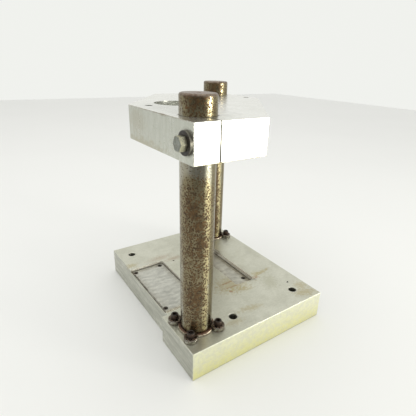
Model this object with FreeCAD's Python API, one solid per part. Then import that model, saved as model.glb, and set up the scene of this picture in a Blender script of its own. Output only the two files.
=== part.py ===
"""Two-post die set used as an open tooling stand, in millimetres, +Z up.

The origin is on the table, under the middle of the lower shoe. The long side
of the shoe runs along Y and its front face looks toward -Y.
"""
import FreeCAD, Part
import math
import os

from FreeCAD import Vector

os.makedirs("parts", exist_ok=True)

# ---- lower shoe -----------------------------------------------------------
shoe_length_x = 270.0
shoe_width_y = 342.6
shoe_thickness = 49.6
edge_break = 0.6
side_step_depth = 9.6
side_step_length = 95.8
mount_hole_radius = 6.75
mount_hole_rim_radius = 8.0
outer_mount_hole = (98.5, 136.0)
inner_mount_hole = (37.8, 136.0)
locating_hole_radius = 2.3
locating_hole_depth = 12.0
locating_holes = [(-36.6, 67.2), (108.0, -114.4)]

# ---- guide posts ----------------------------------------------------------
post_radius = 23.85
post_bottom = 1.0
post_top = 393.7
post_crown_radius = 3.4
post_fit_gap = 0.05
post_centre_hole_radius = 2.6
post_centre_hole_depth = 5.0
post_centres = {"near": (-98.6, -120.8), "rear": (95.5, 123.3)}

# ---- post collars, toe clamps and their cap screws ------------------------
collar_outer_radius = 28.4
collar_height = 4.3
collar_bevel = 0.8
clamp_circle_radius = 34.3
clamp_angles = [-135.0, -45.0, 45.0, 135.0]
clamp_disc_radius = 10.5
clamp_thickness = 7.2
clamp_toe_tip_radius = 25.4
clamp_collar_gap = 0.4
clamp_bevel = 0.8
clamp_screw_radius = 3.95
clamp_screw_length = 26.0
clamp_head_radius = 5.8
clamp_head_height = 8.0
clamp_socket_flats = 6.35
clamp_socket_depth = 4.2
thread_gap = 0.05
hole_gap = 0.4
head_seat_gap = 0.05

# ---- recessed plates let into the shoe ------------------------------------
recess_front = -72.3
recess_back = 79.4
recess_corner_radius = 6.5
plate_gap = 0.4
plate_thickness = 8.0
left_recess_lip = 1.6
left_recess_right = -56.4
left_plate_top = 45.0
centre_recess_left = 20.6
centre_recess_right = 61.2
centre_plate_top = 41.9
left_plate_screws = [(-117.2, 70.7), (-66.3, 70.7), (-117.6, -54.7), (-66.3, -54.7)]
centre_plate_screws = [(52.9, -51.1), (32.3, 62.6)]
plate_screw_radius = 2.4
plate_screw_length = 14.0
plate_head_radius = 4.0
plate_head_height = 4.8
plate_counterbore_radius = 4.5
plate_counterbore_depth = 5.4
plate_socket_flats = 3.97
plate_socket_depth = 2.4

# ---- upper block ----------------------------------------------------------
block_bottom = 319.3
block_thickness = 48.5
block_outline = [(-134.9, -169.3), (-26.9, -169.3), (134.9, 37.4), (134.9, 169.3), (-17.0, 169.3), (-134.9, 9.8)]
tooling_bore_centre = (-57.4, 5.1)
tooling_bore_radius = 36.1
block_tapped_holes = [(-112.4, -10.8), (119.5, 54.4)]
block_tapped_radius = 5.35
block_tapped_depth = 30.0
pinch_slit_width = 1.8

# ---- pinch bolts that close the slits -------------------------------------
pinch_bolt_offset = 34.0
pinch_bolt_radius = 5.5
pinch_clearance_radius = 5.9
pinch_bolt_reach = 78.0
pinch_hex_flats = 16.5
pinch_hex_height = 8.6
pinch_hex_bevel = 0.7
pinch_washer_radius = 14.2
pinch_washer_thickness = 3.8

UP = Vector(0, 0, 1)


def cylinder(x, y, bottom, top, radius):
    """Upright cylinder between two heights."""
    return Part.makeCylinder(radius, top - bottom, Vector(x, y, bottom), UP)


def prism(points, bottom, top):
    """Upright prism over a closed outline given as (x, y) points."""
    corners = [Vector(x, y, bottom) for x, y in points]
    outline = Part.makePolygon(corners + corners[:1])
    return Part.Face(outline).extrude(Vector(0, 0, top - bottom))


def rounded_plate(left, right, front, back, bottom, top, radius):
    """Rectangular slab with round upright corners."""
    slab = Part.makeBox(right - left, back - front, top - bottom, Vector(left, front, bottom))
    upright = [edge for edge in slab.Edges if abs(edge.tangentAt(edge.FirstParameter).z) > 0.9]
    return slab.makeFillet(radius, upright)


def hexagon(flats, bottom, top):
    """Six-sided upright prism about the Z axis with two corners on the Y axis."""
    corner_radius = flats / math.sqrt(3.0)
    points = []
    for index in range(6):
        angle = math.radians(30.0 + 60.0 * index)
        points.append((corner_radius * math.cos(angle), corner_radius * math.sin(angle)))
    return prism(points, bottom, top)


def end_edges(shape, height):
    """Edges of a shape that lie flat at one height."""
    found = []
    for edge in shape.Edges:
        box = edge.BoundBox
        if abs(box.ZMin - height) < 0.01 and abs(box.ZMax - height) < 0.01:
            found.append(edge)
    return found


def cap_screw(x, y, seat, head_radius, head_height, flats, socket_depth, shank_radius, length):
    """Socket head cap screw standing on its seat height, shank downward."""
    top = seat + head_height
    head = cylinder(0, 0, seat, top, head_radius)
    head = head.makeChamfer(0.5, end_edges(head, top))
    head = head.cut(hexagon(flats, top - socket_depth, top + 1.0))
    shank = cylinder(0, 0, seat - length, seat, shank_radius)
    screw = head.fuse(shank).removeSplitter()
    screw.translate(Vector(x, y, 0))
    return screw


def around_post(post, angle):
    """Centre of one toe clamp on the circle round a post."""
    x, y = post_centres[post]
    turn = math.radians(angle)
    return x + clamp_circle_radius * math.cos(turn), y + clamp_circle_radius * math.sin(turn)


def rimmed_hole(x, y, radius, rim_radius, bottom, top):
    """Through hole with a small countersunk rim at its upper end."""
    hole = cylinder(x, y, bottom - 1.0, top + 1.0, radius)
    depth = rim_radius - radius
    rim = Part.makeCone(radius, rim_radius, depth, Vector(x, y, top - depth), UP)
    return hole.fuse(rim)


def build_shoe():
    """Lower shoe with its recesses, post bores and holes."""
    half_x = shoe_length_x / 2
    half_y = shoe_width_y / 2
    step_end = side_step_length - half_y
    outline = [
        (-half_x, -half_y),
        (half_x, -half_y),
        (half_x, half_y),
        (side_step_depth - half_x, half_y),
        (side_step_depth - half_x, step_end),
        (-half_x, step_end),
    ]
    shoe = prism(outline, 0.0, shoe_thickness)
    shoe = shoe.makeChamfer(edge_break, shoe.Edges)
    lip_outer = side_step_depth - half_x
    cuts = []
    for x, y in post_centres.values():
        cuts.append(cylinder(x, y, -1.0, shoe_thickness + 1.0, post_radius + post_fit_gap))
    left_wall = lip_outer + left_recess_lip
    top = shoe_thickness + 1.0
    left_floor = left_plate_top - plate_thickness
    centre_floor = centre_plate_top - plate_thickness
    cuts.append(rounded_plate(left_wall, left_recess_right, recess_front, recess_back,
                              left_floor, top, recess_corner_radius))
    cuts.append(rounded_plate(lip_outer - 1.0, left_wall + recess_corner_radius * 2, recess_front,
                              recess_back, left_plate_top, top, recess_corner_radius))
    cuts.append(rounded_plate(centre_recess_left, centre_recess_right, recess_front, recess_back,
                              centre_floor, top, recess_corner_radius))
    for sign in (1, -1):
        for reach_x, reach_y, side in (outer_mount_hole + (-1,), inner_mount_hole + (1,)):
            cuts.append(rimmed_hole(sign * side * reach_x, sign * reach_y, mount_hole_radius,
                                    mount_hole_rim_radius, 0.0, shoe_thickness))
    for x, y in locating_holes:
        cuts.append(cylinder(x, y, shoe_thickness - locating_hole_depth, top, locating_hole_radius))
    for post in post_centres:
        for angle in clamp_angles:
            x, y = around_post(post, angle)
            bottom = shoe_thickness + clamp_thickness - clamp_screw_length - 1.0
            cuts.append(cylinder(x, y, bottom, top, clamp_screw_radius + thread_gap))
    for plate_top, places in ((left_plate_top, left_plate_screws), (centre_plate_top, centre_plate_screws)):
        for x, y in places:
            bottom = plate_top - plate_counterbore_depth - plate_screw_length - 1.0
            cuts.append(cylinder(x, y, bottom, plate_top, plate_screw_radius + thread_gap))
    return shoe.cut(cuts)


def build_plate(left, right, plate_top, places):
    """Recessed plate with counterbored screw holes."""
    plate = rounded_plate(left + plate_gap, right - plate_gap, recess_front + plate_gap,
                          recess_back - plate_gap, plate_top - plate_thickness, plate_top,
                          recess_corner_radius - plate_gap)
    cuts = []
    for x, y in places:
        cuts.append(cylinder(x, y, 0.0, plate_top + 1.0, plate_screw_radius + hole_gap))
        cuts.append(cylinder(x, y, plate_top - plate_counterbore_depth, plate_top + 1.0,
                             plate_counterbore_radius))
    return plate.cut(cuts)


def plate_screw(x, y, plate_top):
    """One socket head screw seated in a recessed plate."""
    return cap_screw(x, y, plate_top - plate_counterbore_depth, plate_head_radius, plate_head_height,
                     plate_socket_flats, plate_socket_depth, plate_screw_radius, plate_screw_length)


def build_post(x, y):
    """Ground guide post with a rounded crown, a bevelled foot and a lathe centre on top."""
    post = cylinder(x, y, post_bottom, post_top, post_radius)
    post = post.makeFillet(post_crown_radius, end_edges(post, post_top))
    post = post.makeChamfer(edge_break, end_edges(post, post_bottom))
    centre = Part.makeCone(0.3, post_centre_hole_radius, post_centre_hole_depth,
                           Vector(x, y, post_top - post_centre_hole_depth), UP)
    return post.cut(centre)


def build_collar(x, y):
    """Shoulder ring that rests on the shoe round a post."""
    top = shoe_thickness + collar_height
    ring = cylinder(x, y, shoe_thickness, top, collar_outer_radius)
    ring = ring.makeChamfer(collar_bevel, end_edges(ring, top))
    return ring.cut(cylinder(x, y, shoe_thickness - 1.0, top + 1.0, post_radius + post_fit_gap))


def build_clamp(post, angle):
    """Round toe clamp whose toe reaches over the collar."""
    x, y = around_post(post, angle)
    post_x, post_y = post_centres[post]
    top = shoe_thickness + clamp_thickness
    disc = cylinder(x, y, shoe_thickness, top, clamp_disc_radius)
    disc = disc.makeChamfer(clamp_bevel, end_edges(disc, top))
    notch_top = shoe_thickness + collar_height
    cuts = [
        cylinder(post_x, post_y, 0.0, top + 1.0, clamp_toe_tip_radius),
        cylinder(post_x, post_y, 0.0, notch_top, collar_outer_radius + clamp_collar_gap),
        cylinder(x, y, 0.0, top + 1.0, clamp_screw_radius + hole_gap),
    ]
    return disc.cut(cuts)


def build_clamp_screw(post, angle):
    """Cap screw that holds one toe clamp down."""
    x, y = around_post(post, angle)
    seat = shoe_thickness + clamp_thickness + head_seat_gap
    return cap_screw(x, y, seat, clamp_head_radius, clamp_head_height, clamp_socket_flats,
                     clamp_socket_depth, clamp_screw_radius, clamp_screw_length)


def pinch_frame(post):
    """Side sign, bolt line and outer face of the pinch joint at one post."""
    x, y = post_centres[post]
    side = -1 if post == "near" else 1
    face_x = side * max(abs(corner[0]) for corner in block_outline)
    return side, x, y + side * pinch_bolt_offset, face_x


def along_x(start, side, length, y, z, radius):
    """Cylinder lying along X that runs inward from a side face."""
    return Part.makeCylinder(radius, length, Vector(start, y, z), Vector(-side, 0, 0))


def build_block():
    """Upper block with post bores, pinch slits and a tooling bore."""
    top = block_bottom + block_thickness
    middle = block_bottom + block_thickness / 2
    block = prism(block_outline, block_bottom, top)
    block = block.makeChamfer(edge_break, block.Edges)
    cuts = [cylinder(tooling_bore_centre[0], tooling_bore_centre[1], block_bottom - 1.0, top + 1.0,
                     tooling_bore_radius)]
    for x, y in block_tapped_holes:
        cuts.append(cylinder(x, y, top - block_tapped_depth, top + 1.0, block_tapped_radius))
    outer_y = max(corner[1] for corner in block_outline) + 1.0
    for post, (x, y) in post_centres.items():
        side, slit_x, bolt_y, face_x = pinch_frame(post)
        cuts.append(cylinder(x, y, block_bottom - 1.0, top + 1.0, post_radius + post_fit_gap))
        slit_length = outer_y - abs(y)
        slit_start = y if side > 0 else y - slit_length
        cuts.append(Part.makeBox(pinch_slit_width, slit_length, block_thickness + 2.0,
                                 Vector(slit_x - pinch_slit_width / 2, slit_start, block_bottom - 1.0)))
        start = face_x + side
        clear_length = abs(start - slit_x)
        cuts.append(along_x(start, side, clear_length, bolt_y, middle, pinch_clearance_radius))
        cuts.append(along_x(start, side, pinch_bolt_reach + 2.0, bolt_y, middle,
                            pinch_bolt_radius + thread_gap))
    return block.cut(cuts)


def build_washer(post):
    """Plain washer under one pinch bolt head."""
    side, slit_x, bolt_y, face_x = pinch_frame(post)
    middle = block_bottom + block_thickness / 2
    outer_face = face_x + side * pinch_washer_thickness
    washer = along_x(outer_face, side, pinch_washer_thickness, bolt_y, middle, pinch_washer_radius)
    hole = along_x(outer_face + side, side, pinch_washer_thickness + 2.0, bolt_y, middle,
                   pinch_clearance_radius)
    return washer.cut(hole)


def build_pinch_bolt(post):
    """Hex head bolt that closes one slit, head outward."""
    side, slit_x, bolt_y, face_x = pinch_frame(post)
    middle = block_bottom + block_thickness / 2
    head = hexagon(pinch_hex_flats, 0.0, pinch_hex_height)
    corner_radius = pinch_hex_flats / math.sqrt(3.0)
    dome = Part.makeCylinder(corner_radius + 0.1, pinch_hex_height, Vector(0, 0, 0), UP)
    dome = dome.makeChamfer(pinch_hex_bevel + 0.1, end_edges(dome, pinch_hex_height))
    head = head.common(dome)
    shank_length = pinch_bolt_reach - pinch_washer_thickness
    shank = Part.makeCylinder(pinch_bolt_radius, shank_length, Vector(0, 0, -shank_length), UP)
    bolt = head.fuse(shank).removeSplitter()
    bolt.rotate(Vector(0, 0, 0), Vector(0, 1, 0), side * 90.0)
    seat = face_x + side * (pinch_washer_thickness + head_seat_gap)
    bolt.translate(Vector(seat, bolt_y, middle))
    return bolt


def save(node, shape):
    """Write one named piece."""
    shape.exportStep("parts/" + node + ".step")


save("lower_shoe", build_shoe())
left_edge = side_step_depth - shoe_length_x / 2 + left_recess_lip
save("left_recess_plate", build_plate(left_edge, left_recess_right, left_plate_top, left_plate_screws))
save("centre_recess_plate",
     build_plate(centre_recess_left, centre_recess_right, centre_plate_top, centre_plate_screws))
for number, (screw_x, screw_y) in enumerate(left_plate_screws, 1):
    save("left_plate_screw_%d" % number, plate_screw(screw_x, screw_y, left_plate_top))
for number, (screw_x, screw_y) in enumerate(centre_plate_screws, 1):
    save("centre_plate_screw_%d" % number, plate_screw(screw_x, screw_y, centre_plate_top))
for post_name, (centre_x, centre_y) in post_centres.items():
    save(post_name + "_guide_post", build_post(centre_x, centre_y))
    save(post_name + "_post_collar", build_collar(centre_x, centre_y))
    for number, clamp_angle in enumerate(clamp_angles, 1):
        save("%s_toe_clamp_%d" % (post_name, number), build_clamp(post_name, clamp_angle))
        save("%s_clamp_screw_%d" % (post_name, number), build_clamp_screw(post_name, clamp_angle))
    save(post_name + "_pinch_washer", build_washer(post_name))
    save(post_name + "_pinch_bolt", build_pinch_bolt(post_name))
save("upper_block", build_block())
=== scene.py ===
"""Looks of an open two-post die set: milled aluminium, rusted ground posts and dark screws."""
import logging
import math
from dataclasses import dataclass
from enum import Enum
from typing import Callable, Dict, List, Optional, Sequence, Tuple, Union

import bpy
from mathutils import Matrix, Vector, noise


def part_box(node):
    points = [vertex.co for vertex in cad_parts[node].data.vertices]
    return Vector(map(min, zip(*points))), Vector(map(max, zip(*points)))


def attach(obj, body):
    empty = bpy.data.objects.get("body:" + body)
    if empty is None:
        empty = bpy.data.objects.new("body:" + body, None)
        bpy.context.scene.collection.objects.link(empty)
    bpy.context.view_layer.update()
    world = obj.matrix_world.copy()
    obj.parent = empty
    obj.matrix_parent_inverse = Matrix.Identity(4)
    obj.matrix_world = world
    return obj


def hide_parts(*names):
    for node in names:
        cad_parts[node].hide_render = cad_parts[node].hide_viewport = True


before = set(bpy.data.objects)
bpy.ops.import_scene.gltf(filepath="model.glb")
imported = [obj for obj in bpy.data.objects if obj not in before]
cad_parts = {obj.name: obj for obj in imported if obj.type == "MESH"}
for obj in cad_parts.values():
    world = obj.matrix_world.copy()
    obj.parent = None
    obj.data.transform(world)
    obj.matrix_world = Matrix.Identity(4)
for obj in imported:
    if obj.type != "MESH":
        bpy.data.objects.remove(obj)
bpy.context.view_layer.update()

LOG = logging.getLogger("die_set")

Socket = bpy.types.NodeSocket
Outputs = bpy.types.NodeOutputs
Tree = bpy.types.NodeTree
Material = bpy.types.Material
Piece = bpy.types.Object
Triple = Tuple[float, float, float]
Colour = Triple
Box = Tuple[Vector, Vector]
Feed = Union[Socket, float, Sequence[float]]
Ring = List[Vector]
MM = 0.001
BEAD_STEP = 1.1 * MM
BEAD_SIDES = 8
BEAD_LEAST = 0.22
BEAD_REACH = {"plate": 0.75 * MM, "bore": 0.5 * MM}
UP = Vector((0.0, 0.0, 1.0))


class Slot(Enum):
    """Names of the record's material slots."""

    BLOCK = "block_aluminium"
    PLATE = "recess_plate_alloy"
    COLLAR = "rusted_collar_steel"
    CAP_SCREW = "black_cap_screw"


class Station(Enum):
    """The two guide posts, by their place on the shoe."""

    NEAR = "near"
    REAR = "rear"


# ---- node bench


class Bench:
    """Adds shader nodes to one tree and wires them together."""

    def __init__(self, tree: Tree) -> None:
        """Works on the given node tree."""
        self.tree = tree

    def add(self, kind: str, **settings: object) -> bpy.types.Node:
        """Adds one node.

        Args:
            kind: Node type name.
            settings: Node properties to set.

        Returns:
            The new node.
        """
        node = self.tree.nodes.new(kind)
        for name, value in settings.items():
            setattr(node, name, value)
        return node

    def feed(self, socket: Socket, value: Feed) -> None:
        """Links a socket to a socket, or sets it to a constant.

        Args:
            socket: The input to feed.
            value: Another node's output, a number, a vector or a colour.
        """
        if isinstance(value, Socket):
            self.tree.links.new(value, socket)
        elif socket.type == "RGBA" and len(value) == 3:
            socket.default_value = (*value, 1.0)
        else:
            socket.default_value = value

    def wire(self, kind: str, values: Dict[Union[int, str], Feed], **settings: object) -> Outputs:
        """Adds one node and feeds its inputs.

        Args:
            kind: Node type name.
            values: What each input takes, by its number or name.
            settings: Node properties to set.

        Returns:
            The node's outputs.
        """
        node = self.add(kind, **settings)
        for key, value in values.items():
            self.feed(node.inputs[key], value)
        return node.outputs

    def math(self, operation: str, *values: Feed, clamp: bool = False) -> Socket:
        """Returns the result of a Math node."""
        given = dict(enumerate(values))
        return self.wire("ShaderNodeMath", given, operation=operation, use_clamp=clamp)[0]

    def times(self, first: Feed, second: Feed, clamp: bool = False) -> Socket:
        """Multiplies two values."""
        return self.math("MULTIPLY", first, second, clamp=clamp)

    def plus(self, first: Feed, second: Feed, clamp: bool = False) -> Socket:
        """Adds two values."""
        return self.math("ADD", first, second, clamp=clamp)

    def less(self, first: Feed, second: Feed, clamp: bool = False) -> Socket:
        """Takes the second value from the first."""
        return self.math("SUBTRACT", first, second, clamp=clamp)

    def vector(self, operation: str, *values: Feed) -> Socket:
        """Returns the vector result of a Vector Math node."""
        return self.wire("ShaderNodeVectorMath", dict(enumerate(values)), operation=operation)[0]

    def length(self, value: Feed) -> Socket:
        """Returns the length of a vector."""
        return self.wire("ShaderNodeVectorMath", {0: value}, operation="LENGTH")["Value"]

    def dot(self, first: Feed, second: Feed) -> Socket:
        """Returns the dot product of two vectors."""
        return self.wire("ShaderNodeVectorMath", {0: first, 1: second}, operation="DOT_PRODUCT")["Value"]

    def split(self, value: Feed) -> Outputs:
        """Returns the X, Y and Z outputs of a vector."""
        return self.wire("ShaderNodeSeparateXYZ", {0: value})

    def step(self, value: Feed, low: float, high: float, bottom: float = 0.0,
             top: float = 1.0) -> Socket:
        """Maps a value smoothly from low..high to bottom..top, held at both ends."""
        values = dict(enumerate((value, low, high, bottom, top)))
        return self.wire("ShaderNodeMapRange", values, interpolation_type="SMOOTHSTEP", clamp=True)[0]

    def noise(self, place: Feed, scale: Feed, detail: float = 3.0, rough: float = 0.5,
              bend: float = 0.0) -> Socket:
        """Returns the value of a noise texture at a place."""
        return self.wire("ShaderNodeTexNoise", {"Vector": place, "Scale": scale, "Detail": detail,
                                                "Roughness": rough, "Distortion": bend})["Fac"]

    def blend(self, share: Feed, first: Feed, second: Feed) -> Socket:
        """Mixes two colours by a share of the second."""
        return self.wire("ShaderNodeMix", {0: share, 6: first, 7: second}, data_type="RGBA")[2]

    def coat(self, colour: Feed, mask: Feed, share: Feed, tint: Feed) -> Socket:
        """Lays a share of a tint over a colour where the mask is."""
        return self.blend(self.times(mask, share), colour, tint)

    def between(self, share: Feed, first: Feed, second: Feed) -> Socket:
        """Mixes two values by a share of the second."""
        return self.wire("ShaderNodeMix", {0: share, 2: first, 3: second}, data_type="FLOAT")[0]

    def place(self) -> Socket:
        """Returns the point on the piece, in metres, in the piece's own axes."""
        return self.add("ShaderNodeTexCoord").outputs["Object"]

    def facing(self) -> Socket:
        """Returns the surface normal in the piece's own axes."""
        return self.add("ShaderNodeTexCoord").outputs["Normal"]

    def use(self, group: Tree, **values: Feed) -> Outputs:
        """Places a node group, with its inputs by name."""
        return self.wire("ShaderNodeGroup", values, node_tree=group)


class Effect:
    """One shared shader group under construction."""

    def __init__(self, name: str, inputs: Dict[str, Union[float, Triple]],
                 outputs: Dict[str, str]) -> None:
        """Starts a group with named inputs and outputs.

        Args:
            name: Name of the group.
            inputs: Default value by input name: a number or a vector.
            outputs: Socket type by output name: Float, Color or Vector.
        """
        self.tree = bpy.data.node_groups.new(name, "ShaderNodeTree")
        for label, value in inputs.items():
            kind = "NodeSocketFloat" if isinstance(value, float) else "NodeSocketVector"
            socket = self.tree.interface.new_socket(label, in_out="INPUT", socket_type=kind)
            socket.default_value = value
        for label, kind in outputs.items():
            self.tree.interface.new_socket(label, in_out="OUTPUT", socket_type="NodeSocket" + kind)
        self.bench = Bench(self.tree)
        self.given = self.bench.add("NodeGroupInput").outputs
        self.result = self.bench.add("NodeGroupOutput").inputs

    def out(self, name: str, value: Feed) -> None:
        """Wires one of the group's outputs."""
        self.bench.feed(self.result[name], value)


class Effects:
    """The shader groups that several materials share, each built once."""

    def __init__(self) -> None:
        """Builds every group."""
        for build in (self.build_grain, self.build_edge_wear_and_highlight, self.build_rust, self.build_tint_patch,
                      self.build_corner_grime_and_shade, self.build_scratches):
            build()

    def build_grain(self) -> None:
        """Builds tool grain: stretched noise with a coarse drift under it."""
        effect = Effect("milled_grain", {"Stretch": (1.0, 1.0, 1.0), "Fineness": 900.0, "Drift": 30.0},
                        {"Tone": "Float", "Cloud": "Float"})
        bench, given = effect.bench, effect.given
        place = bench.place()
        lines = bench.noise(bench.vector("MULTIPLY", place, given["Stretch"]), given["Fineness"], 4.0, 0.6)
        effect.out("Tone", bench.step(lines, 0.3, 0.7))
        effect.out("Cloud", bench.step(bench.noise(place, given["Drift"], 4.0, 0.6, 0.4), 0.3, 0.7))
        self.grain = effect.tree

    def build_edge_wear_and_highlight(self) -> None:
        """Builds a mask of edges, broken up by noise, and the softened normal: rubbed edges on the steel
        parts, rubbed edges with a painted highlight on the aluminium.
        """
        effect = Effect("edge_wear_and_highlight", {"Width": 0.0006, "Patchy": 300.0},
                        {"Mask": "Float", "Normal": "Vector"})
        bench, given = effect.bench, effect.given
        soft = bench.wire("ShaderNodeBevel", {"Radius": given["Width"]}, samples=4)[0]
        plain = bench.add("ShaderNodeNewGeometry").outputs["Normal"]
        turn = bench.less(1.0, bench.dot(soft, plain))
        patches = bench.step(bench.noise(bench.place(), given["Patchy"], 2.0), 0.35, 0.6, 0.35, 1.0)
        effect.out("Mask", bench.times(bench.step(turn, 0.01, 0.12), patches, clamp=True))
        effect.out("Normal", soft)
        self.edge_wear_and_highlight = effect.tree

    def build_rust(self) -> None:
        """Builds rust spots that join into patches as the coverage rises."""
        effect = Effect("rust_spots", {"Spots": 500.0, "Coverage": 0.5, "Seed": 0.0},
                        {"Mask": "Float", "Film": "Float", "Tone": "Float"})
        bench, given = effect.bench, effect.given
        place, spots = bench.vector("ADD", bench.place(), given["Seed"]), given["Spots"]
        cells = bench.wire("ShaderNodeTexVoronoi", {"Vector": place, "Scale": spots, "Randomness": 1.0,
                                                    "Smoothness": 0.25}, feature="SMOOTH_F1")
        pits = bench.step(cells["Distance"], 0.70, 0.10)
        fine = bench.noise(place, bench.times(spots, 1.1), 3.0, 0.55)
        patches = bench.noise(place, bench.times(spots, 0.22), 4.0, 0.6, 0.4)
        mixed = bench.plus(bench.times(pits, 0.40), bench.times(fine, 0.32))
        mixed = bench.plus(mixed, bench.times(patches, 0.28))
        depth = bench.less(mixed, bench.less(0.66, bench.times(given["Coverage"], 0.36)))
        effect.out("Mask", bench.step(depth, -0.055, 0.055))
        effect.out("Film", bench.step(depth, -0.20, -0.02))
        effect.out("Tone", bench.step(bench.noise(place, bench.times(spots, 0.5), 4.0, 0.7), 0.3, 0.7))
        self.rust = effect.tree

    def build_tint_patch(self) -> None:
        """Builds a patch of ragged outline at one place, for stains and for painted shade."""
        effect = Effect("tint_patch", {"Centre": (0.0, 0.0, 0.0), "Reach": (0.01, 0.01, 0.01), "Turn": 0.0,
                                   "Ragged": 0.5, "Fleck": 220.0}, {"Mask": "Float"})
        bench, given = effect.bench, effect.given
        place = bench.place()
        away = bench.vector("SUBTRACT", place, given["Centre"])
        turned = bench.wire("ShaderNodeVectorRotate", {"Vector": away, "Angle": given["Turn"]},
                            rotation_type="Z_AXIS")
        spread = bench.length(bench.vector("DIVIDE", turned[0], given["Reach"]))
        flecks = bench.less(bench.noise(place, given["Fleck"], 4.0, 0.65), 0.5)
        ragged = bench.math("MULTIPLY_ADD", flecks, bench.times(given["Ragged"], 4.0), spread)
        effect.out("Mask", bench.step(ragged, 1.15, 0.25))
        self.tint_patch = effect.tree

    def build_corner_grime_and_shade(self) -> None:
        """Builds a mask that darkens inside corners and close to neighbours, partly dirt and partly painted
        shade, and a second mask of painted shade deep inside holes.
        """
        effect = Effect("corner_grime_and_shade", {"Distance": 0.004, "Fleck": 400.0},
                        {"Mask": "Float", "DeepShade": "Float"})
        bench, given = effect.bench, effect.given
        hollow = bench.wire("ShaderNodeAmbientOcclusion", {"Distance": given["Distance"]}, samples=6)
        shut = bench.less(1.0, hollow["AO"])
        flecks = bench.step(bench.noise(bench.place(), given["Fleck"], 3.0, 0.6), 0.3, 0.65, 0.4, 1.3)
        # Corner darkening from occlusion: partly dirt, partly painted shade.
        effect.out("Mask", bench.times(bench.step(shut, 0.08, 0.55), flecks, clamp=True))
        # Painted shade deep inside holes and bores, from the same occlusion.
        effect.out("DeepShade", bench.step(shut, 0.62, 0.85))
        self.grime_and_shade = effect.tree

    def build_scratches(self) -> None:
        """Builds sparse thin scratches at two slants."""
        effect = Effect("scratches", {"Density": 60.0, "Amount": 0.5}, {"Mask": "Float"})
        bench, given = effect.bench, effect.given
        place = bench.place()
        found: List[Socket] = []
        for slant, seed in ((0.5, 0.0), (-0.9, 3.7)):
            values = {"Vector": place, "Axis": (0.3, 0.3, 0.9), "Angle": slant}
            turned = bench.wire("ShaderNodeVectorRotate", values, rotation_type="AXIS_ANGLE")
            shifted = bench.vector("ADD", turned[0], (seed, seed, seed))
            thin = bench.vector("MULTIPLY", shifted, (1.0, 26.0, 3.0))
            cells = bench.wire("ShaderNodeTexVoronoi", {"Vector": thin, "Scale": given["Density"]},
                               feature="DISTANCE_TO_EDGE")
            line = bench.step(cells["Distance"], 0.03, 0.0)
            found.append(bench.times(line, bench.step(bench.noise(shifted, 55.0, 2.0), 0.52, 0.66)))
        effect.out("Mask", bench.times(bench.math("MAXIMUM", *found), given["Amount"], clamp=True))
        self.scratches = effect.tree


# ---- finishes


@dataclass(frozen=True)
class TintPatch:
    """One tinted patch, for stains and for painted shade alike: where it is, how far it reaches, and what it
    leaves.
    """

    centre: Triple
    reach: Triple
    tint: Colour
    strength: float
    turn: float = 0.0
    ragged: float = 0.5
    fleck: float = 220.0


class Paintwork:
    """A material in the making, with the shader's usual sockets at hand."""

    def __init__(self, name: str) -> None:
        """Starts an empty node material.

        Args:
            name: Name of the material.
        """
        self.material = bpy.data.materials.new(name)
        self.material.use_nodes = True
        tree = self.material.node_tree
        tree.nodes.clear()
        self.bench = Bench(tree)
        self.shader = self.bench.add("ShaderNodeBsdfPrincipled")
        self.bench.wire("ShaderNodeOutputMaterial", {"Surface": self.shader.outputs[0]})

    def set(self, **values: Feed) -> None:
        """Feeds the shader's sockets by name, with _ for a space."""
        for name, value in values.items():
            self.bench.feed(self.shader.inputs[name.replace("_", " ")], value)

    def bump(self, height: Feed, depth: float, normal: Optional[Feed] = None) -> None:
        """Raises the surface by a height map.

        Args:
            height: Height between 0 and 1.
            depth: Height of 1, in metres.
            normal: Normal to start from.
        """
        values = {"Strength": 1.0, "Distance": depth, "Height": height}
        if normal is not None:
            values["Normal"] = normal
        self.set(Normal=self.bench.wire("ShaderNodeBump", values)[0])

    def lay_tint_patches(self, effects: Effects, colour: Feed, tint_patches: Sequence[TintPatch]) -> Feed:
        """Lays tint patches over a colour: stains, and on the block painted shade too.

        Args:
            effects: The shared groups.
            colour: Colour under the patches.
            tint_patches: The patches, first at the bottom.

        Returns:
            The tinted colour.
        """
        bench = self.bench
        for tint_patch in tint_patches:
            mask = bench.use(effects.tint_patch, Centre=tint_patch.centre, Reach=tint_patch.reach, Turn=tint_patch.turn,
                             Ragged=tint_patch.ragged, Fleck=tint_patch.fleck)["Mask"]
            colour = bench.coat(colour, mask, tint_patch.strength, tint_patch.tint)
        return colour


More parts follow.
